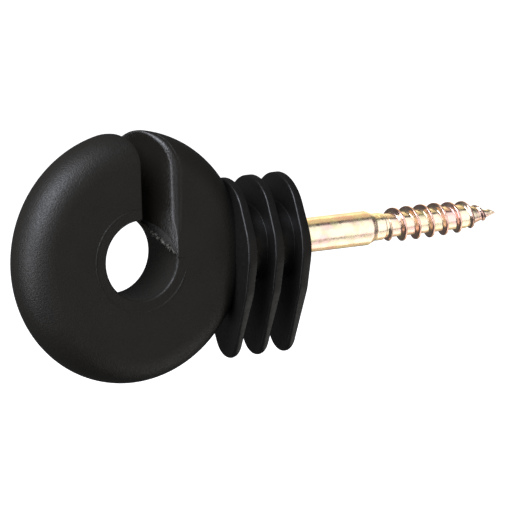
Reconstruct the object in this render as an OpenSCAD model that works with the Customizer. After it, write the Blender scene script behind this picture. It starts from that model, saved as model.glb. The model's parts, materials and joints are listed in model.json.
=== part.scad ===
// Ring insulator for an electric fence: one polymer moulding on one steel wood screw.
// The wire lies in the ring's hole and is laid in through the slanted slot on top.
// Frame: origin at the centre of the wire hole, +X along the screw towards its tip,
// +Y along the wire hole, +Z up through the slot. All sizes are in millimetres.

/* [Ring] */
// Outer radius of the ring
ring_r = 21.6; // [20.5:0.1:24]
// Thickness of the ring along the wire hole, which is also the diameter of its round rim
ring_t = 10.6; // [10:0.1:12]
// Radius of the wire hole
hole_r = 6.8; // [5:0.1:7.4]

/* [Slot] */
// Width of the slot, measured across the ring in X
slot_w = 6.6; // [6.6:0.1:8]
// X of the slot's left wall where it meets the front face
slot_left_x = 0.4; // [-0.4:0.1:0.6]
// Angle between the slot's walls and the wire hole, seen from above
slot_angle = 31.4; // [28:0.2:33]
// Radius of the rounding on the slot's open corner at each face
slot_round = 1.2; // [0.6:0.1:1.6]

/* [Neck and sheds] */
// Radius of the neck between the sheds
neck_r = 6.7; // [6:0.1:8]
// Half width of a shed, level with the screw
shed_r = 9.35; // [8.5:0.05:9.6]
// Radius of a shed's crown
crown_r = 7.5; // [6.5:0.1:8]
// Height of a shed above the screw's axis
shed_up = 11.6; // [10.5:0.1:13]
// Radius of a shed's drip nose
nose_r = 3.5; // [3:0.1:4.5]
// Reach of the drip nose below the screw's axis
shed_down = 19.65; // [16:0.05:21]
// Number of sheds
sheds = 3; // [2:1:3]
// X of the first shed's middle
shed_x = 19.3; // [19:0.1:19.6]
// Distance from one shed to the next
shed_pitch = 5.3; // [4.5:0.1:5.6]
// Thickness of a shed at the mould's parting plane
shed_t = 1.9; // [1.6:0.1:2.4]
// Thickness of a shed at its top and bottom edges, after the mould's draft
shed_edge_t = 1.4; // [1:0.1:1.5]
// How far the seat face stands out past the last shed
seat_h = 0.5; // [0.3:0.1:1]
// Radius of the shallow recess round the shank in the seat face
mouth_r = 3.3; // [3.2:0.05:3.6]

/* [Screw] */
// Radius of the plain shank
shank_r = 3; // [2.9:0.05:3.1]
// X where the plain shank ends
shank_end_x = 47.1; // [44:0.1:48]
// Length of the cone from the shank down to the relief neck
relief_cone = 1.4; // [0.8:0.1:2]
// Radius of the relief neck
relief_r = 2.4; // [2.2:0.05:2.45]
// X where the relief neck ends
relief_end_x = 50.4; // [50:0.1:52]
// Root radius of the thread
root_r = 2.1; // [1.9:0.05:2.15]
// Crest radius of the thread
crest_r = 3; // [2.6:0.05:3]
// Thread pitch
pitch = 2.86; // [2.6:0.02:3.1]
// X where the root starts to taper towards the point
taper_x = 67.4; // [66:0.1:69]
// X of the point
tip_x = 73.8; // [73:0.1:78]

/* [Moulded-in end] */
// X of the screw's hidden end, clear of the wire hole
anchor_x = 11; // [10.5:0.1:12]
// Radius of the hidden stem, a little under the shank's
stem_r = 2.8; // [2:0.1:2.8]
// Radius of the rolled collars that stop the screw pulling out
collar_r = 3.5; // [3.2:0.1:4]
// Number of rolled collars
collars = 4; // [2:1:4]
// Side of the squared end that stops the screw turning
square_side = 5.6; // [4:0.1:6]

/* [Hidden] */

$fn = 96;
past = 1;                                  // how far a cutter runs past the face that it cuts
seam_angle = 130;                          // keeps the seams of round faces clear of the slot
half_t = ring_t / 2;
slot_right_x = slot_left_x + slot_w;       // right wall at the front face
slot_lean = tan(slot_angle);               // X that the slot loses per mm of Y
slot_middle_x = (slot_left_x + slot_right_x) / 2 - slot_lean * half_t;
last_shed_x = shed_x + (sheds - 1) * shed_pitch;
seat_x = last_shed_x + shed_t / 2 + seat_h;
shed_top = shed_up + past;
shed_bottom = -shed_down - past;
widest_z = -0.5;                           // height of the widest arc's centre
flank_r = 8.2;                             // radius of the bulge below that
flank_z = -5;                              // height of that bulge's centre
outline_steps = 10;                        // facets on each arc of a shed's outline
// Circles that a shed's outline follows, from the crown down: height of centre, radius
shed_circles = [
    [shed_up - crown_r, crown_r],
    [widest_z, shed_r],
    [flank_z, flank_r],
    [nose_r - shed_down, nose_r]
];
mouth_depth = 0.3;
collar_t = 1.5;
collar_gap = 3.4;                          // from one collar to the next
square_len = 3.5;
thread_steps = 36;                         // points round one turn
thread_phases = [0, 0.34, 0.46, 0.54, 0.66];         // root, foot, crest, crest, foot
crest_phase = 0.5;                         // the middle of the crest
crest_lift = [0, 0, 1, 1, 0];              // share of the thread's height at each phase
round_steps = 8;                           // facets on the slot's rounded corner
crest_at_x = 53.05;                        // X of a crest on the screw's top line
runout = 1.6;                              // length over which the first turn rises
tip_flat_r = 0.25;                         // root radius where the last turn ends
slim_x = 61;                               // X where the crests start to get lower
slim = 0.1;                                // share of the crest radius lost by taper_x
tip_crest = 0.12;                          // share of the crest radius left at the point

// ---------- moulding ----------

// Round rim on a flat disc: a full-round edge whose radius is half of the ring's thickness.
module ring_blank() {
    along_hole()
        rotate_extrude()
            intersection() {
                union() {
                    translate([0, -half_t]) square([ring_r - half_t, ring_t]);
                    translate([ring_r - half_t, 0]) circle(r = half_t);
                }
                translate([0, -ring_t]) square([ring_r + past, 2 * ring_t]);
            }
}

// Stands a shape of revolution on the wire hole's axis, with its seam low on the far side.
module along_hole() {
    rotate([90, seam_angle, 0]) children();
}

// Rounding of the open corner between the slot's right wall and the front face: an arc
// that touches both, from the face round to the wall.
function corner_arc() =
    let (
        reach = slot_round * tan((90 - slot_angle) / 2),
        centre = [slot_right_x + reach, -half_t + slot_round]
    )
    [for (k = [0 : round_steps])
        let (a = 270 - (90 - slot_angle) * k / round_steps)
        centre + slot_round * [cos(a), sin(a)]];

// Half of the slot's plan: past the front face at both walls, with the rounded corner.
function front_half() = concat(
    [[slot_left_x + slot_lean * past, -half_t - past]],
    [[corner_arc()[0][0], -half_t - past]],
    corner_arc()
);

// Plan of the slanted slot: two parallel walls, the same turned half round its middle.
module slot_plan() {
    polygon(concat(front_half(), [for (p = front_half()) [2 * slot_middle_x, 0] - p]));
}

// The slot reaches from the screw's level up through the rim.
module slot() {
    linear_extrude(height = ring_r + past) slot_plan();
}

// Lean of the line that touches a circle and the next one down, 0 when both are as wide.
function touch_lean(upper, lower) = asin((upper[1] - lower[1]) / (upper[0] - lower[0]));

// Right half of a shed's outline, from the crown down to the nose: an arc of each circle
// in turn, joined by the lines that touch both.
function half_outline() =
    let (
        last = len(shed_circles) - 1,
        leans = [for (i = [1 : last]) touch_lean(shed_circles[i - 1], shed_circles[i])],
        bends = concat([90], -leans, [-90])
    )
    [for (i = [0 : last]) for (k = [0 : outline_steps])
        let (a = bends[i] + (bends[i + 1] - bends[i]) * k / outline_steps, c = shed_circles[i])
        [c[1] * cos(a), c[0] + c[1] * sin(a)]];

// A shed seen along the screw: an arched crown, bulging flanks and a narrow drip nose.
module shed_outline() {
    right = half_outline();
    polygon(concat(right, [for (k = [len(right) - 2 : -1 : 1]) [-right[k][0], right[k][1]]]));
}

// A shed seen along the wire hole: thickest at the parting plane, drafted both ways.
module shed_section() {
    polygon([
        [-shed_t / 2, 0], [-shed_edge_t / 2, shed_bottom],
        [shed_edge_t / 2, shed_bottom], [shed_t / 2, 0],
        [shed_edge_t / 2, shed_top], [-shed_edge_t / 2, shed_top]
    ]);
}

module shed() {
    intersection() {
        rotate([90, 0, 90]) linear_extrude(height = 2 * shed_t, center = true) shed_outline();
        rotate([90, 0, 0]) linear_extrude(height = 3 * shed_r, center = true) shed_section();
    }
}

module along_x(x) {
    translate([x, 0, 0]) rotate([0, 90, 0]) children();
}

module neck() {
    along_x(shed_x) cylinder(h = seat_x - shed_x, r = neck_r);
}

module insulator_body() {
    color([0.05, 0.05, 0.05])
        difference() {
            union() {
                ring_blank();
                neck();
                for (i = [0 : sheds - 1])
                    translate([shed_x + i * shed_pitch, 0, 0]) shed();
            }
            along_hole() cylinder(h = ring_t + 2 * past, r = hole_r, center = true);
            slot();
            screw_anchor();
            along_x(seat_x - mouth_depth) cylinder(h = mouth_depth + past, r = mouth_r);
        }
}

// ---------- screw ----------

// The end that the moulding grips: a square against turning, collars against pulling.
module screw_anchor() {
    translate([anchor_x, -square_side / 2, -square_side / 2])
        cube([square_len, square_side, square_side]);
    along_x(anchor_x + past) cylinder(h = seat_x - anchor_x, r = stem_r);
    for (i = [0 : collars - 1])
        along_x(anchor_x + square_len + collar_t + i * collar_gap)
            cylinder(h = collar_t, r = collar_r);
}

// Share of full thread height at x: it rises over the run-out and stays full to the point.
function thread_share(x) = max(0, min(1, (x - relief_end_x) / runout));

// Root and crest radii at x: plain until taper_x, then straight down to the point.
function taper(x) = max(0, min(1, (tip_x - x) / (tip_x - taper_x)));
function root_at(x) = max(tip_flat_r, root_r * taper(x));
function slimming(x) = 1 - slim * max(0, min(1, (x - slim_x) / (taper_x - slim_x)));
function crest_at(x) = crest_r * slimming(x) * (tip_crest + (1 - tip_crest) * taper(x));
function height_at(x) = (crest_at(x) - root_at(x)) * thread_share(x);

// Point i along the screw and j round it. Rows follow the helix, so a crest is one row.
function thread_point(i, j, start_x) =
    let (
        m = len(thread_phases),
        turn = floor(i / m),
        phase = thread_phases[i - turn * m],
        x = start_x + pitch * (turn + phase - crest_phase + j / thread_steps - 0.25),
        r = root_at(x) + height_at(x) * crest_lift[i - turn * m],
        a = 360 * j / thread_steps
    )
    [x, r * cos(a), r * sin(a)];

// One closed surface: helical rows, and a fan to a point on the axis at each end.
module thread() {
    m = len(thread_phases);
    turns_back = ceil((crest_at_x - relief_end_x) / pitch) + 1;
    start_x = crest_at_x - turns_back * pitch;
    rows = m * floor((tip_x - start_x) / pitch);
    body = [for (i = [0 : rows + m]) for (j = [0 : thread_steps - 1]) thread_point(i, j, start_x)];
    near = len(body);
    far = near + 1;
    points = concat(body, [[start_x - pitch, 0, 0], [tip_x, 0, 0]]);
    function at(i, j) = j == thread_steps ? (i + m) * thread_steps : i * thread_steps + j;
    skin = [
        for (i = [0 : rows - 1]) for (j = [0 : thread_steps - 1])
            each [[at(i, j), at(i + 1, j), at(i + 1, j + 1)], [at(i, j), at(i + 1, j + 1), at(i, j + 1)]]
    ];
    near_cap = concat(
        [for (j = [0 : thread_steps - 1]) [near, at(0, j), at(0, j + 1)]],
        [for (i = [0 : m - 1]) [near, at(i + 1, 0), at(i, 0)]]
    );
    far_cap = concat(
        [for (j = [0 : thread_steps - 1]) [far, at(rows, j + 1), at(rows, j)]],
        [for (i = [0 : m - 1]) [far, at(rows + i, 0), at(rows + i + 1, 0)]]
    );
    polyhedron(points = points, faces = concat(skin, near_cap, far_cap), convexity = 10);
}

module wood_screw() {
    color([0.83, 0.72, 0.5]) {
        screw_anchor();
        along_x(seat_x) cylinder(h = shank_end_x - seat_x, r = shank_r);
        along_x(shank_end_x) cylinder(h = relief_cone, r1 = shank_r, r2 = relief_r);
        along_x(shank_end_x + relief_cone)
            cylinder(h = relief_end_x - shank_end_x - relief_cone, r = relief_r);
        thread();
    }
}

insulator_body();
wood_screw();
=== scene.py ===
# %% [markdown]
# # A ring insulator on a wood screw
# An electric fence hangs its wire in rings like this one. A black polymer ring is moulded,
# together with three drip sheds, round one end of a yellow zinc plated wood screw. The wire
# is laid in through the slanted slot on top. The solid model gives the frame, the mounts and
# the main sizes. This lesson adds finished surfaces, finishes, light and a camera.

import json
import math

import bpy
import numpy as np
from mathutils import Matrix, Vector


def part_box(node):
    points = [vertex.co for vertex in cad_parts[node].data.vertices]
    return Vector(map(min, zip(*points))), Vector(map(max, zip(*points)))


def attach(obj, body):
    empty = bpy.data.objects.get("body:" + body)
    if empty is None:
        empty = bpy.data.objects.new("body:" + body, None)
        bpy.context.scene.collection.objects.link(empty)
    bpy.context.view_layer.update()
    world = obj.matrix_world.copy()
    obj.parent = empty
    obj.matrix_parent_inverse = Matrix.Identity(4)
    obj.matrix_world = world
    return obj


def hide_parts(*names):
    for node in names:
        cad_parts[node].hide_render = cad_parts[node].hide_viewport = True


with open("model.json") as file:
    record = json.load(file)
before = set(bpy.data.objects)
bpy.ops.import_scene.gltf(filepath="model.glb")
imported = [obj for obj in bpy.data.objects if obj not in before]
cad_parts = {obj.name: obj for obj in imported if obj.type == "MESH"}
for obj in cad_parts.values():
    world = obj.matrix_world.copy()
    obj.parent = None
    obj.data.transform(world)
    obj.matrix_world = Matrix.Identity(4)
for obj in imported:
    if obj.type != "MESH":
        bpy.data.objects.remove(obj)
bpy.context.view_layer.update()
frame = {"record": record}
MM = 0.001                               # the scene is in metres, the shapes below in mm

mounts = {mount["name"]: mount for mount in frame["record"]["mounts"]}
body_low, body_high = (np.array(corner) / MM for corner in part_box("insulator_body"))
screw_low, screw_high = (np.array(corner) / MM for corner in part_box("wood_screw"))
print("moulding", body_low.round(2), body_high.round(2))
print("screw", screw_low.round(2), screw_high.round(2))

# %% [markdown]
# ## Driving sizes
# The hole, the shank, the seat, the screw's ends and the outer sizes are read from the solid
# model. The model doesn't hand over the others, such as the slot, the sheds and the thread,
# so they are typed in again here. A change to one of those in the model has to be made here
# too. They are kept together so that each surface below can be worked out from them.

# %% Sizes of the moulding
HOLE_R = mounts["wire_hole"]["dims"]["r_mm"]
HALF_T = mounts["wire_hole"]["dims"]["length_mm"] / 2
RING_R = -body_low[0]
SLOT_LEFT, SLOT_RIGHT = 0.4, 7.0         # X of the slot's walls at the front face
SLOT_LEAN = math.tan(math.radians(31.4))  # X that the slot loses per mm of Y
SEAT_X = mounts["seat"]["pos_m"][0] / MM
MOUTH_R, MOUTH_DEPTH = 3.3, 0.3          # shallow recess round the shank in the seat face
SHED_X, SHED_PITCH, SHEDS = 19.3, 5.3, 3
SHED_T, SHED_EDGE_T = 1.9, 1.4           # at the mould's parting plane, and at the far edge
NECK_R = 6.7
SHED_TOP, SHED_LOW, SHED_HALF = 11.6, 19.65, body_high[1]

# %% Sizes of the screw
SHANK_R = mounts["screw_shank"]["dims"]["r_mm"]
SHANK_END = (mounts["screw_shank"]["pos_m"][0] / MM
             + mounts["screw_shank"]["dims"]["length_mm"] / 2)
RELIEF_X, RELIEF_R = 48.5, 2.4
THREAD_X, TAPER_X, SLIM_X = 50.4, 67.4, 61.0
TIP_X = screw_high[0]
ROOT_R, CREST_R, THREAD_PITCH, CREST_AT = 2.1, 3.0, 2.86, 53.05
print(f"slot lean {SLOT_LEAN:.3f}, shank {SEAT_X:.2f} to {SHANK_END:.2f} mm, tip {TIP_X:.1f} mm")

# %% [markdown]
# ## From a grid of points to a mesh
# Every new piece is a surface worked out on a grid: each row is a closed loop of points,
# and the next row carries the loop a little further. Whole arrays keep it quick. Joining
# each point to its neighbours gives the faces. A fan to the middle of the first and last
# loop closes the ends, and the sign of the enclosed volume says which way faces point.


# %% Grid to mesh
def closed_grid(points):
    """Vertices and triangles of a grid of loops, closed at both ends by a fan to the loop's
    middle. The volume is a sixth of the sum of a . (b x c) over the triangles a, b, c: if it
    comes out negative, the triangles are turned round."""
    rows, columns, _ = points.shape
    row, column = np.meshgrid(np.arange(rows - 1), np.arange(columns), indexing="ij")
    here = (row * columns + column).ravel()
    side = (row * columns + (column + 1) % columns).ravel()
    first, last = rows * columns, rows * columns + 1
    loop, step = np.arange(columns), (np.arange(columns) + 1) % columns
    end = (rows - 1) * columns
    triangles = np.concatenate([
        np.stack([here, side, side + columns], 1),
        np.stack([here, side + columns, here + columns], 1),
        np.stack([np.full(columns, first), step, loop], 1),
        np.stack([np.full(columns, last), end + loop, end + step], 1),
    ])
    vertices = np.concatenate([points.reshape(-1, 3), [points[0].mean(0)], [points[-1].mean(0)]])
    a, b, c = (vertices[triangles[:, corner]] for corner in range(3))
    if np.sum(a * np.cross(b, c)) < 0:
        triangles = triangles[:, ::-1]
    return vertices, triangles


def add_piece(name, grids, material, node, crease_angle, marks=None):
    """One object made of one or more closed grids in mm. It stands for a solid of the model
    and rides with it. Edges bent more than the crease angle stay sharp. marks is a value at
    each point of the first grid, kept in the mesh for its material to read."""
    vertices, triangles, count = [], [], 0
    for points in grids:
        v, t = closed_grid(points)
        vertices.append(v)
        triangles.append(t + count)
        count += len(v)
    mesh = bpy.data.meshes.new(name)
    mesh.from_pydata((np.concatenate(vertices) * MM).tolist(), [],
                     np.concatenate(triangles).tolist())
    mesh.shade_smooth()
    mesh.set_sharp_from_angle(angle=math.radians(crease_angle))
    if marks is not None:
        values = np.zeros(count)
        values[:marks.size] = marks.ravel()
        mesh.attributes.new("mark", "FLOAT", "POINT").data.foreach_set("value", values)
    mesh.materials.append(material)
    piece = bpy.data.objects.new(name, mesh)
    bpy.context.scene.collection.objects.link(piece)
    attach(piece, "root")
    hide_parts(node)
    print(f"{name}: {len(mesh.vertices)} points, {len(mesh.polygons)} triangles")
    return piece


def smooth_step(low, high, x):
    """0 below low and 1 above high, with an S-shaped rise 3t^2 - 2t^3 between them."""
    t = np.clip((x - low) / (high - low), 0, 1)
    return t * t * (3 - 2 * t)


# %% [markdown]
# ## Finishes: how a node is added
# A finish is a small network of nodes. One function adds a node of any kind, sets its own
# properties, and fills each input with a number, a colour or the output of another node.
# Colours are written as the hex values of a colour chart, and turned to linear light.


# %% Node and colour helpers
def add_node(tree, kind, inputs=None, **settings):
    """A new node. inputs maps an input's name or number to a value or to another output."""
    made = tree.nodes.new(kind)
    for name, value in settings.items():
        setattr(made, name, value)
    for key, value in (inputs or {}).items():
        if isinstance(value, bpy.types.NodeSocket):
            tree.links.new(value, made.inputs[key])
        else:
            made.inputs[key].default_value = value
    return made


def linear(code):
    """Linear colour of an sRGB hex value: c / 12.92 in the darkest part, and
    ((c + 0.055) / 1.055) ^ 2.4 above it."""
    channels = [int(code[k:k + 2], 16) / 255 for k in (1, 3, 5)]
    return [c / 12.92 if c <= 0.04045 else ((c + 0.055) / 1.055) ** 2.4 for c in channels] + [1]


def start_material(name):
    """An empty material, its shader and the object's own coordinates in metres."""
    material = bpy.data.materials.new(name)
    material.use_nodes = True
    tree = material.node_tree
    tree.nodes.clear()
    shader = add_node(tree, "ShaderNodeBsdfPrincipled")
    add_node(tree, "ShaderNodeOutputMaterial", {"Surface": shader.outputs["BSDF"]})
    place = add_node(tree, "ShaderNodeTexCoord").outputs["Object"]
    return material, tree, shader, place


# %% [markdown]
# ## Black polymer
# The ring and the sheds are one black moulding, taken here to be polyamide. The ring has the
# fine grain that a spark-eroded mould leaves. It breaks the light into tiny sparkles where
# the surface turns to the lamp, and the face looks dull elsewhere. The sheds are glossier,
# like a polished mould's work. The slot's walls get less grain and less roughness than the
# faces. That is an assumption: it keeps them dark beside the bright rounding at their edge,
# and a deeper shadow could do the same. All these finishes come from one function. The grain
# could be real bumps in the mesh, but at 0.3 mm a bump map shows the same and stays light.


# %% Moulded polymer
WALL_SHARE = 0.4                         # share of grain and roughness on the slot's walls
POLYMER_IOR, POLYMER_SHINE = 1.5, 0.35   # a little less shine than the plain index gives


def black_polymer(name, dark, pale, grain_mm, grain_depth_mm, smoothest, roughest):
    """Moulded polymer: coarse noise mixes two near blacks, and fine noise of the grain's
    size drives both the roughness and the bump. Both are cut down where "mark" is 1, on the
    slot's walls."""
    material, tree, shader, place = start_material(name)
    cloud = add_node(tree, "ShaderNodeTexNoise",
                     {"Vector": place, "Scale": 1 / (7 * MM), "Detail": 3.0})
    shade = add_node(tree, "ShaderNodeMix",
                     {0: cloud.outputs["Fac"], 6: linear(dark), 7: linear(pale)},
                     data_type="RGBA")
    grain = add_node(tree, "ShaderNodeTexNoise",
                     {"Vector": place, "Scale": 1 / (grain_mm * MM), "Detail": 2.0,
                      "Roughness": 0.6})
    gloss = add_node(tree, "ShaderNodeMapRange",
                     {"Value": grain.outputs["Fac"], "From Min": 0.3, "From Max": 0.7,
                      "To Min": smoothest, "To Max": roughest})
    on_wall = add_node(tree, "ShaderNodeAttribute", attribute_name="mark")
    kept = add_node(tree, "ShaderNodeMapRange",
                    {"Value": on_wall.outputs["Fac"], "To Min": 1.0, "To Max": WALL_SHARE})
    rough = add_node(tree, "ShaderNodeMath",
                     {0: gloss.outputs["Result"], 1: kept.outputs["Result"]},
                     operation="MULTIPLY")
    bump = add_node(tree, "ShaderNodeBump",
                    {"Height": grain.outputs["Fac"], "Strength": kept.outputs["Result"],
                     "Distance": grain_depth_mm * MM})
    tree.links.new(shade.outputs[2], shader.inputs["Base Color"])
    tree.links.new(rough.outputs[0], shader.inputs["Roughness"])
    tree.links.new(bump.outputs["Normal"], shader.inputs["Normal"])
    shader.inputs["IOR"].default_value = POLYMER_IOR
    shader.inputs["Specular IOR Level"].default_value = POLYMER_SHINE
    return material


eroded_polymer = black_polymer("spark_eroded_black_polyamide", "#171512", "#211F1B",
                               grain_mm=0.3, grain_depth_mm=0.08, smoothest=0.38,
                               roughest=0.62)
polished_polymer = black_polymer("polished_black_polyamide", "#100F0E", "#171615",
                                 grain_mm=0.6, grain_depth_mm=0.02, smoothest=0.3,
                                 roughest=0.48)
# The flash's torn edge is given a paler grey than the rest of the moulding.
pale_flash_polymer = black_polymer("torn_black_polyamide_flash", "#33322F", "#57554F",
                             grain_mm=0.4, grain_depth_mm=0.08, smoothest=0.3,
                             roughest=0.5)

# %% [markdown]
# ## Yellow zinc plate
# The screw is steel with a bright zinc plate that was dipped in a yellow chromate. The
# chromate is a film thinner than a wavelength of light, so its colour drifts from pale
# gold to pink, violet and green as its thickness changes. The thread's crests are tinted
# a darker pink. A thin-film shader could do this, but three slow noise patterns that mix
# the colours are easier to steer. Fine rings from thread rolling give the shank its grain.

# %% Yellow zinc plated steel
yellow_zinc, tree, shader, place = start_material("yellow_chromated_zinc_plate")
drift = add_node(tree, "ShaderNodeTexNoise",
                 {"Vector": place, "Scale": 1 / (3.5 * MM), "Detail": 2.0})
streaks = add_node(tree, "ShaderNodeTexNoise",
                   {"Vector": place, "Scale": 1 / (1.6 * MM), "Detail": 3.0,
                    "Distortion": 0.6})
pink_share = add_node(tree, "ShaderNodeMapRange",
                      {"Value": drift.outputs["Fac"], "From Min": 0.46, "From Max": 0.66,
                       "To Max": 0.6})
green_share = add_node(tree, "ShaderNodeMapRange",
                       {"Value": streaks.outputs["Fac"], "From Min": 0.52, "From Max": 0.7,
                        "To Max": 0.45})
gold = add_node(tree, "ShaderNodeMix",
                {0: pink_share.outputs["Result"], 6: linear("#F9E8CE"), 7: linear("#F3B9C4")},
                data_type="RGBA")
film = add_node(tree, "ShaderNodeMix",
                {0: green_share.outputs["Result"], 6: gold.outputs[2], 7: linear("#CFDE9E")},
                data_type="RGBA")
# The thread's crests are tinted a darker pink where the screw's grid marks them.
crest = add_node(tree, "ShaderNodeAttribute", attribute_name="mark")
crest_tint = add_node(tree, "ShaderNodeMath", {0: crest.outputs["Fac"], 1: 0.75},
                      operation="MULTIPLY")
plate = add_node(tree, "ShaderNodeMix",
                 {0: crest_tint.outputs[0], 6: film.outputs[2], 7: linear("#D6A39A")},
                 data_type="RGBA")
stretched = add_node(tree, "ShaderNodeMapping",
                     {"Vector": place, "Scale": (1 / (0.25 * MM), 1 / (3 * MM), 1 / (3 * MM))})
rolling = add_node(tree, "ShaderNodeTexNoise",
                   {"Vector": stretched.outputs["Vector"], "Scale": 1.0, "Detail": 2.0})
gloss = add_node(tree, "ShaderNodeMapRange",
                 {"Value": streaks.outputs["Fac"], "From Min": 0.3, "From Max": 0.7,
                  "To Min": 0.16, "To Max": 0.32})
ripple = add_node(tree, "ShaderNodeBump",
                  {"Height": rolling.outputs["Fac"], "Strength": 1.0, "Distance": 0.008 * MM})
dents = add_node(tree, "ShaderNodeBump",
                 {"Height": streaks.outputs["Fac"], "Strength": 1.0, "Distance": 0.04 * MM,
                  "Normal": ripple.outputs["Normal"]})
tree.links.new(plate.outputs[2], shader.inputs["Base Color"])
tree.links.new(gloss.outputs["Result"], shader.inputs["Roughness"])
tree.links.new(dents.outputs["Normal"], shader.inputs["Normal"])
shader.inputs["Metallic"].default_value = 1.0

# %% [markdown]
# ## The ring
# The ring is a flat disc with a full-round rim, open at the top: a letter C whose ends are
# the two slanted walls of the slot. It could be cut from a turned disc with a boolean, but
# then the rounded edges along the walls would be hard to control. Here the section of the
# ring is one closed loop, and the loop is carried round the wire hole from one wall to the
# other. Each point of the loop has its own start and end angle, because the walls lean.


# %% Section of the ring
EDGE_R = 0.4                             # rounding where the hole meets the faces


def ring_section():
    """Loop of (distance from the hole's axis, Y) and its outward directions: up the hole's
    wall, round a small corner, out along the back face, half a circle round the rim, and
    home along the front face and the other corner."""
    flat = HALF_T - EDGE_R
    rim_r = RING_R - HALF_T
    wall = np.linspace(-flat, flat, 16)[:-1]
    face = np.linspace(HOLE_R + EDGE_R, rim_r, 60)[:-1]
    corner = np.radians(np.linspace(180, 90, 8))[:-1]
    rim = np.radians(np.linspace(90, -90, 60))[:-1]
    arc = np.array([np.cos(corner), np.sin(corner)]).T
    half = np.array([np.cos(rim), np.sin(rim)]).T
    up, out = np.array([0.0, 1.0]), np.array([1.0, 0.0])
    back = [
        (np.array([HOLE_R + 0 * wall, wall]).T, np.tile(-out, (len(wall), 1))),
        ([HOLE_R + EDGE_R, flat] + EDGE_R * arc, arc),
        (np.array([face, HALF_T + 0 * face]).T, np.tile(up, (len(face), 1))),
        ([rim_r, 0] + HALF_T * half, half),
        (np.array([face[::-1] + (face[1] - face[0]), -HALF_T + 0 * face]).T,
         np.tile(-up, (len(face), 1))),
        ([HOLE_R + EDGE_R, -flat] + EDGE_R * arc[::-1] * [1, -1], arc[::-1] * [1, -1]),
    ]
    return np.concatenate([p for p, _ in back]), np.concatenate([n for _, n in back])


section, outward = ring_section()
print(f"ring section: {len(section)} points, {section[:, 0].min():.1f} to "
      f"{section[:, 0].max():.1f} mm from the hole's axis")


# %% Carry the section round the hole
SMALL_ROUND, BIG_ROUND = 0.2, 0.95       # rounding of the walls' tight and open corners
STEP_DOWN = 0.1                          # how far the big rounding ends below the face
WALL_ROWS, ROUND_ROWS = 14, 12           # rows over a slot wall, and round its edge


def wall_angle(points, wall_x):
    """Angle round the hole, from +X towards +Z, at which a point of the section meets a
    slot wall: the arc cosine of the wall's X at that depth over the distance r."""
    x = wall_x - SLOT_LEAN * (points[:, 1] + HALF_T)
    return np.arccos(np.clip(x / points[:, 0], -1, 1))


def end_rows(wall_x, side, way):
    """Rows from the middle of a slot wall out to its rounded edge. The section grows from
    its middle over the flat wall, then a quarter circle turns from the wall to the skin:
    inset r(1 - sin a), shifted round by r(1 - cos a). side is -1 where the open corner
    faces the front and 1 at the back, way is the direction round the hole."""
    open_side = smooth_step(-0.35, 0.55, side * outward[:, 1])
    past_hole = smooth_step(HOLE_R + 0.9, HOLE_R + 2.6, section[:, 0])
    r = SMALL_ROUND + (BIG_ROUND - SMALL_ROUND) * open_side * past_hole
    step = STEP_DOWN * r / BIG_ROUND
    middle = np.array([(HOLE_R + RING_R) / 2, 0.0])
    edge = section - outward * r[:, None]
    rows = []
    for share in np.linspace(0.04, 0.96, WALL_ROWS):
        grown = middle + (edge - middle) * share
        rows.append((grown, wall_angle(grown, wall_x)))
    for a in np.radians(np.linspace(0, 90, ROUND_ROWS)):
        inset = step + (r - step) * (1 - math.sin(a))
        held = section - outward * inset[:, None]
        angle = wall_angle(held, wall_x) + way * r * (1 - math.cos(a)) / held[:, 0]
        rows.append((held, angle))
    rows.append((section, wall_angle(section, wall_x) + way * (r + 0.14) / section[:, 0]))
    return rows


def ring_grid():
    """Rows of one slot wall, then the sweep round the hole in even shares of each point's
    own angle, then the rows of the other wall backwards. A point at distance r, depth y and
    angle a lies at (r cos a, y, r sin a)."""
    right = end_rows(SLOT_RIGHT, -1, -1)
    left = end_rows(SLOT_LEFT, 1, 1)
    start, stop = right[-1][1], left[-1][1] - 2 * math.pi
    sweep = [(section, start + (stop - start) * share)
             for share in np.linspace(0, 1, 190)[1:-1]]
    rows = right + sweep + [(p, angle - 2 * math.pi) for p, angle in left[::-1]]
    r = np.array([p[:, 0] for p, _ in rows])
    y = np.array([p[:, 1] for p, _ in rows])
    angle = np.array([a for _, a in rows])
    return np.stack([r * np.cos(angle), y, r * np.sin(angle)], axis=-1)


ring = ring_grid()
fade = np.concatenate([np.ones(WALL_ROWS), np.linspace(1, 0, ROUND_ROWS)])[:, None]
wall_mark = np.zeros(ring.shape[:2])     # 1 on the slot's walls, 0 on the skin
wall_mark[:len(fade)] = fade
wall_mark[-len(fade):] = fade[::-1]


# %% [markdown]
# ## Marks of the mould
# A mould leaves its marks: a fine step where its halves meet, a witness ring round the
# core pin that forms the hole, and a ragged skin of flash where the slot's blade shuts
# against that pin. They are thin, but they catch the light. Each is a bead: a small oval
# section carried along a path on the surface, half sunk in it and tapered at its ends.


# %% Beads along a path
def bead(path, width, height, up):
    """An oval loop of the given half width and half height at each point of a path. Its
    width lies across the path in the surface and its height along up. Both may vary along
    the path, and fall to nothing at its ends."""
    along = np.gradient(path, axis=0)
    up = np.broadcast_to(np.asarray(up, float), path.shape)
    across = np.cross(along, up)
    across /= np.linalg.norm(across, axis=1, keepdims=True)
    share = np.linspace(0, 1, len(path))
    fade = np.clip(np.minimum(share, 1 - share) * 12, 0.02, 1)
    turn = np.linspace(0, 2 * math.pi, 9)[:-1]
    wide, high = (np.broadcast_to(size, share.shape) * fade for size in (width, height))
    return (path[:, None] + across[:, None] * (wide[:, None] * np.cos(turn))[..., None]
            + up[:, None] * (high[:, None] * np.sin(turn))[..., None])


def line(start, stop, count=24):
    """Evenly spaced points from start to stop."""
    return np.linspace(start, stop, count)


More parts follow.
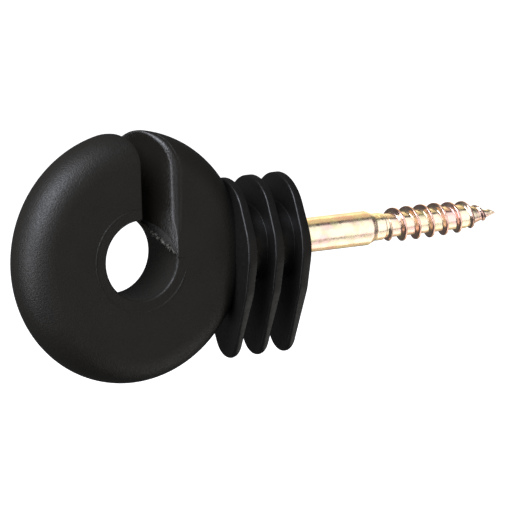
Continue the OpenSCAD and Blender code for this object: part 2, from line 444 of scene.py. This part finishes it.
FRONT = (0, -1, 0)
WITNESS_R = 8.75                         # ring left by the core pin's shoulder
ring_angle = np.radians(np.linspace(95, 352, 160))
witness_ring = np.stack([WITNESS_R * np.cos(ring_angle), -HALF_T + 0 * ring_angle,
                         WITNESS_R * np.sin(ring_angle)], axis=-1)
mould_marks = [
    bead(witness_ring, 0.16, 0.06, FRONT),
    bead(line((-2.8, -HALF_T, 8.9), (0.3, -HALF_T, 8.8)), 0.12, 0.08, FRONT),
    bead(line((9.6, -HALF_T, 0.4), (15.8, -HALF_T, 0.4)), 0.1, 0.03, FRONT),
    bead(line((6.6, -HALF_T, -0.15), (7.9, -HALF_T, -0.15)), 0.14, 0.1, FRONT),
]


# %% Flash between the slot and the hole
def flash_grids(points=110, half_thickness=0.04):
    """A torn skin in the plane of the slot's right wall, and the lumpy thread along its torn
    edge. The skin hangs from the wall's edge with the hole, z = sqrt(r^2 - x^2), down to a
    straight line between the two ends of that edge, made ragged by smoothed random steps."""
    draw = np.random.default_rng(7)
    y = np.linspace(-HALF_T + 0.1, 1.6, points)
    x = SLOT_RIGHT - SLOT_LEAN * (y + HALF_T)
    upper = np.sqrt(HOLE_R ** 2 - np.minimum(x, HOLE_R - 0.01) ** 2) + 0.2
    rough = np.convolve(draw.uniform(-1, 1, points + 4), np.ones(5) / 5, mode="valid")
    lower = np.linspace(upper[0] - 0.3, upper[-1] - 0.3, points) + 0.5 * rough
    normal = np.array([-1, -SLOT_LEAN, 0]) / math.hypot(1, SLOT_LEAN)
    turn = np.linspace(0, 2 * math.pi, 13)[:-1]
    middle = np.stack([x, y, (upper + lower) / 2], axis=-1)
    skin = (middle[:, None] + normal * (half_thickness * np.sin(turn))[:, None]
            + np.array([0, 0, 1]) * ((upper - lower)[:, None, None] / 2 * np.cos(turn)[:, None]))
    torn = np.stack([x, y, lower], axis=-1) + normal * 0.08
    lumps = 0.26 + 0.2 * draw.uniform(-1, 1, points)
    return [skin, bead(torn, lumps, lumps, normal)]


flash_skin, torn_edge = flash_grids()
add_piece("insulator_ring", [ring, *mould_marks, flash_skin], eroded_polymer,
          "insulator_body", crease_angle=35, marks=wall_mark)
add_piece("insulator_flash", [torn_edge], pale_flash_polymer,
          "insulator_body", crease_angle=50)

# %% [markdown]
# ## Neck and sheds
# Three sheds make rain drip off before it can join the wire to the post. Seen along the
# screw, each is an arch with a narrow drip nose below. It could be extruded and bevelled,
# but its thickness changes: the mould needs draft, so a shed is thickest at the parting
# plane and thinner towards the crown and the nose. So the neck and all three sheds are one
# surface: a profile along the screw, carried round it, with the reach of each shed taken
# from its outline in that direction.


# %% Outline of a shed
CROWN_R, BELLY_R, NOSE_R = 7.5, 8.2, 3.5
WIDEST_Z, BELLY_Z = -0.5, -5.0           # heights of the two middle circles' centres


def shed_outline(count):
    """Directions from straight up and the reach in each, evenly spaced along the outline.
    The outline follows four circles on the middle line, from the crown down, and the lines
    that touch each circle and the next: such a line leans by the arc sine of the fall in
    radius over the distance between the centres."""
    height = np.array([SHED_TOP - CROWN_R, WIDEST_Z, BELLY_Z, NOSE_R - SHED_LOW])
    radius = np.array([CROWN_R, SHED_HALF, BELLY_R, NOSE_R])
    lean = np.arcsin((radius[:-1] - radius[1:]) / (height[:-1] - height[1:]))
    bends = np.concatenate([[math.pi / 2], -lean, [-math.pi / 2]])
    share = np.linspace(0, 1, 60)
    angle = bends[:-1, None] + (bends[1:] - bends[:-1])[:, None] * share
    y = (radius[:, None] * np.cos(angle)).ravel()
    z = (height[:, None] + radius[:, None] * np.sin(angle)).ravel()
    length = np.concatenate([[0], np.cumsum(np.hypot(np.diff(y), np.diff(z)))])
    even = np.linspace(0, length[-1], count // 2 + 1)
    y, z = np.interp(even, length, y), np.interp(even, length, z)
    y, z = np.concatenate([y, -y[-2:0:-1]]), np.concatenate([z, z[-2:0:-1]])
    return np.arctan2(y, z), np.hypot(y, z)


direction, reach = shed_outline(280)
print(f"shed outline: reach {reach.min():.2f} to {reach.max():.2f} mm")

# %% Profile along the screw
RIM_ROUND, NOSE_ROUND, ROOT_FILLET = 0.3, 0.4, 0.1
ARC_ROWS = 6                             # rows over each fillet and each rounding


def shed_rows(x):
    """Rows over one shed: up its near face, round its rim and down its far face. A point on
    a face is the neck's radius plus a share of the way to the rim. Its X is half of the
    thickness at its own height, which falls off evenly above and below the parting plane."""
    rim_round = RIM_ROUND + NOSE_ROUND * smooth_step(8, 19, -reach * np.cos(direction))
    rows = []

    def half_thickness(radius):
        z = radius * np.cos(direction)
        far = np.where(z > 0, SHED_TOP, SHED_LOW) + 1
        return (SHED_T - (SHED_T - SHED_EDGE_T) * np.abs(z) / far) / 2

    for a in np.radians(np.linspace(0, 90, ARC_ROWS + 1))[:-1]:
        radius = NECK_R + ROOT_FILLET * (1 - math.cos(a)) + 0 * reach
        rows.append((half_thickness(radius) + ROOT_FILLET * (1 - math.sin(a)), radius))
    for share in np.linspace(0, 1, 10):
        radius = NECK_R + ROOT_FILLET + (reach - rim_round - NECK_R - ROOT_FILLET) * share
        rows.append((half_thickness(radius), radius))
    for a in np.radians(np.linspace(0, 90, ARC_ROWS + 1))[1:]:
        radius = reach - rim_round * (1 - math.sin(a))
        rows.append((half_thickness(radius) - rim_round * (1 - math.cos(a)), radius))
    near = [(x - half, radius) for half, radius in rows]
    far = [(x + half, radius) for half, radius in rows[::-1]]
    return near + far


def neck_rows():
    """Sheds with plain neck between them, and the seat face with its shallow recess. The
    recess is a guess, because the last shed hides it."""
    flat = 0 * reach
    rows = []
    for k in range(SHEDS):
        rows += shed_rows(SHED_X + k * SHED_PITCH)
    rows = rows[ARC_ROWS:]               # the first fillet is inside the ring
    rows += [(SEAT_X - 0.25 + flat, NECK_R + flat), (SEAT_X - 0.07 + flat, NECK_R - 0.07 + flat),
             (SEAT_X + flat, NECK_R - 0.25 + flat), (SEAT_X + flat, MOUTH_R + 0.05 + flat),
             (SEAT_X - 0.05 + flat, MOUTH_R + flat), (SEAT_X - MOUTH_DEPTH + flat, MOUTH_R + flat),
             (SEAT_X - MOUTH_DEPTH + flat, 0.3 + flat)]
    first_x, _ = rows[0]
    rows.insert(0, (first_x.mean() + flat, 0.3 + flat))
    x, radius = (np.array(values) for values in zip(*rows))
    return np.stack([x, radius * np.sin(direction), radius * np.cos(direction)], axis=-1)


# %% Nubs on the rims
def rim_nubs():
    """Short beads across each rim at the parting plane, where the mould's halves meet."""
    nubs = []
    for k in range(SHEDS):
        x = SHED_X + k * SHED_PITCH
        for y in (SHED_HALF, -SHED_HALF):
            path = line((x - SHED_T / 2, y * 0.997, 0.05), (x + SHED_T / 2, y * 0.997, 0.05), 10)
            nubs.append(bead(path, 0.13, 0.025, (0, np.sign(y), 0)))
    return nubs


add_piece("insulator_sheds", [neck_rows(), *rim_nubs()], polished_polymer,
          "insulator_body", crease_angle=32)

# %% [markdown]
# ## The wood screw
# The screw is cold headed and its thread is rolled, so the shank, the relief neck and the
# thread are one round surface. A helix could be a separate strip wound round a core, but a
# single height above the axis, read at each place along and round the screw, gives rounded
# crests and roots with no seam. The end inside the polymer can't be seen, so it is a guess:
# a square against turning and collars against pulling out.

# %% Body of the screw
ANCHOR_X, STEM_R, COLLAR_R, SQUARE_HALF = screw_low[0], 2.8, 3.5, 2.8
COLLARS, COLLAR_T, COLLAR_GAP, SQUARE_LEN = 4, 1.5, 3.4, 3.5
EDGE = 0.15                              # small bevel at each change of radius
CREST_HALF, CREST_RAMP = 0.62, 0.5       # half width of the thread, and of its flank


def body_outline():
    """Corner points (X, radius) of the screw without its thread, from the hidden end on."""
    outline = [(ANCHOR_X, SQUARE_HALF - EDGE), (ANCHOR_X + EDGE, SQUARE_HALF),
               (ANCHOR_X + SQUARE_LEN, SQUARE_HALF), (ANCHOR_X + SQUARE_LEN + 0.01, STEM_R)]
    for k in range(COLLARS):
        x = ANCHOR_X + SQUARE_LEN + COLLAR_T + k * COLLAR_GAP
        outline += [(x, STEM_R), (x + EDGE, COLLAR_R), (x + COLLAR_T - EDGE, COLLAR_R),
                    (x + COLLAR_T, STEM_R)]
    outline += [(SEAT_X - 0.01, STEM_R), (SEAT_X, SHANK_R), (SHANK_END, SHANK_R),
                (RELIEF_X, RELIEF_R), (THREAD_X - 0.3, RELIEF_R), (THREAD_X + 0.4, ROOT_R),
                (TAPER_X, ROOT_R), (TIP_X, 0.12)]
    return np.array(outline)


def screw_grid(columns=120):
    """Radius at X and angle: the body's outline, squared off at the hidden end, plus the
    thread. The thread's height depends on how far the point is from the middle of a crest,
    measured along the screw: the phase is (X - first crest) / pitch less the turn made."""
    outline = body_outline()
    x = np.unique(np.concatenate([
        outline[:, 0], np.arange(ANCHOR_X, THREAD_X, 0.4),
        np.arange(THREAD_X - 1, TIP_X, 0.055)]))
    turn = np.linspace(0, 1, columns + 1)[:-1]
    body = np.interp(x, outline[:, 0], outline[:, 1])[:, None]
    cos, sin = np.abs(np.cos(2 * math.pi * turn)), np.abs(np.sin(2 * math.pi * turn))
    square = (cos ** 14 + sin ** 14) ** (-1 / 14)
    body = np.where(x[:, None] <= ANCHOR_X + SQUARE_LEN, body * square, body)
    phase = (x[:, None] - CREST_AT) / THREAD_PITCH - (turn - 0.25)
    off_crest = np.abs(phase - np.round(phase)) * THREAD_PITCH
    taper = np.clip((TIP_X - x) / (TIP_X - TAPER_X), 0, 1)
    slim = 1 - 0.1 * np.clip((x - SLIM_X) / (TAPER_X - SLIM_X), 0, 1)
    crest_r = (CREST_R * slim * (0.12 + 0.88 * taper))[:, None]
    rise = smooth_step(THREAD_X - 0.4, THREAD_X + 2.2, x[:, None] + 0 * turn)
    ridge = smooth_step(0, 1, (CREST_HALF - off_crest) / CREST_RAMP)
    radius = body + np.maximum(crest_r - body, 0) * rise * ridge
    mark = ridge * rise * np.clip(taper + 0.3, 0, 1)[:, None]
    grid = np.stack([x[:, None] + 0 * turn, radius * np.cos(2 * math.pi * turn),
                     radius * np.sin(2 * math.pi * turn)], axis=-1)
    return grid, mark


grid, crest_mark = screw_grid()
screw = add_piece("screw", [grid], yellow_zinc, "wood_screw",
                  crease_angle=38, marks=crest_mark)

# %% [markdown]
# ## Floor and light
# The insulator hangs over a plain pale floor in a white studio. The camera sees the walls
# white, but the object is lit by much dimmer ones, so black polymer stays black. A strong
# lamp high on the left draws the sheen on the ring's upper rim. A weaker one at the left
# carries it down the side, and dim ones at the front and below open up the edges. Polished
# metal needs bright things to mirror, which would turn the polymer grey, so four more lamps
# light only the screw. No real lamp can do that: it is a trick of the renderer. All the
# lamps are placed for the first view, and from other sides the screw can look too bright
# and a slot wall can shine.

# %% Floor
FLOOR_Z, FLOOR_HALF, FLOOR_GLOW = -0.07, 3, 0.95

corners = [(-1, -1), (1, -1), (1, 1), (-1, 1)]
floor_mesh = bpy.data.meshes.new("floor")
floor_mesh.from_pydata([(x * FLOOR_HALF, y * FLOOR_HALF, FLOOR_Z) for x, y in corners], [],
                       [(0, 1, 2, 3)])
floor = bpy.data.objects.new("floor", floor_mesh)
bpy.context.scene.collection.objects.link(floor)
paint, tree, shader, place = start_material("pale_floor_paint")
shader.inputs["Base Color"].default_value = linear("#F4F4F4")
shader.inputs["Roughness"].default_value = 0.9
shader.inputs["Specular IOR Level"].default_value = 0.1
shader.inputs["Emission Color"].default_value = linear("#FFFFFF")
shader.inputs["Emission Strength"].default_value = FLOOR_GLOW
floor.visible_diffuse = floor.visible_glossy = False
floor_mesh.materials.append(paint)

# %% World and lamps
DIM = 0.11                               # brightness of the walls as the object sees them
AIM = Vector((0.015, 0, 0))              # point that every lamp faces, in metres


def add_world():
    """The camera sees plain white, and the object is lit by dim walls all round."""
    world = bpy.data.worlds.new("studio")
    world.use_nodes = True
    tree = world.node_tree
    tree.nodes.clear()
    seen = add_node(tree, "ShaderNodeLightPath").outputs["Is Camera Ray"]
    strength = add_node(tree, "ShaderNodeMath", {0: seen, 1: DIM}, operation="MAXIMUM")
    light = add_node(tree, "ShaderNodeBackground", {"Strength": strength.outputs[0]})
    light.inputs["Color"].default_value = (1, 1, 1, 1)
    add_node(tree, "ShaderNodeOutputWorld", {"Surface": light.outputs["Background"]})
    bpy.context.scene.world = world


def add_lamp(name, toward, distance, size, brightness, colour, only=None):
    """A square soft lamp in the given direction from the object, facing its middle. Its
    power is pi x brightness x area. It lights everything, or only the named piece."""
    data = bpy.data.lights.new(name, "AREA")
    data.size, data.color = size, linear(colour)[:3]
    data.energy = math.pi * brightness * size ** 2
    lamp = bpy.data.objects.new(name, data)
    away = Vector(toward).normalized()
    lamp.location = AIM + away * distance
    lamp.rotation_mode = "QUATERNION"
    lamp.rotation_quaternion = away.to_track_quat("Z", "Y")
    bpy.context.scene.collection.objects.link(lamp)
    if only:
        lit = bpy.data.collections.new(name + "_lights")
        lit.objects.link(only)
        lamp.light_linking.receiver_collection = lit


add_world()
add_lamp("key", (-0.62, -0.36, 0.62), 0.6, 0.36, 15.0, "#EEF3FF")
add_lamp("left", (-0.9, -0.2, -0.05), 0.7, 0.4, 6.0, "#F2F5FF")
add_lamp("front_right", (0.49, -0.8, -0.05), 0.8, 0.8, 0.3, "#FFF4E4")
add_lamp("front_left", (-0.46, -0.88, -0.05), 0.8, 0.2, 4.0, "#F4F6FF")
add_lamp("below_right", (0.6, -0.3, -0.7), 0.8, 0.6, 1.2, "#FFFDF8")
add_lamp("screw_front", (0.49, -0.7, 0.2), 0.8, 1.2, 1.15, "#FFFFFF", only=screw)
add_lamp("screw_top", (0.49, 0.3, 0.82), 0.8, 0.6, 0.7, "#FFE9B0", only=screw)
add_lamp("screw_back", (0.49, 0.78, 0.36), 0.8, 0.75, 1.1, "#FFEDBE", only=screw)
add_lamp("screw_below", (0.5, 0.15, -0.85), 0.8, 0.9, 0.6, "#FFEAB8", only=screw)

# %% [markdown]
# ## Camera
# The camera looks down a little from the front left, from far enough away that the ring
# hardly tapers. Its axis passes to the right of the hole, because the screw reaches that
# way. The lens follows from the distance and the width that the view takes in there.

# %% Camera
AZIMUTH, ELEVATION, ROLL = (math.radians(angle) for angle in (-30, 9.4, -1.65))
DISTANCE, VIEW_WIDTH, ASIDE, ABOVE = 800.0, 88.42, -22.69, 0.79      # mm

back = Vector((math.sin(AZIMUTH) * math.cos(ELEVATION), -math.cos(AZIMUTH) * math.cos(ELEVATION),
               math.sin(ELEVATION)))
right = (-back).cross(Vector((0, 0, 1))).normalized()
up = right.cross(-back)
camera_x = right * math.cos(ROLL) + up * math.sin(ROLL)
camera_y = up * math.cos(ROLL) - right * math.sin(ROLL)
camera_data = bpy.data.cameras.new("camera")
camera_data.sensor_width = 36.0
camera_data.lens = camera_data.sensor_width * DISTANCE / VIEW_WIDTH
camera_data.clip_end = 20.0
camera = bpy.data.objects.new("camera", camera_data)
place = (back * DISTANCE - camera_x * ASIDE - camera_y * ABOVE) * MM
turn = Matrix((camera_x, camera_y, back)).transposed().to_4x4()
camera.matrix_world = Matrix.Translation(place) @ turn
bpy.context.scene.collection.objects.link(camera)
bpy.context.scene.camera = camera
bpy.context.scene.view_settings.view_transform = "Standard"
print(f"lens {camera_data.lens:.1f} mm, camera at {[round(c, 3) for c in place]} m")
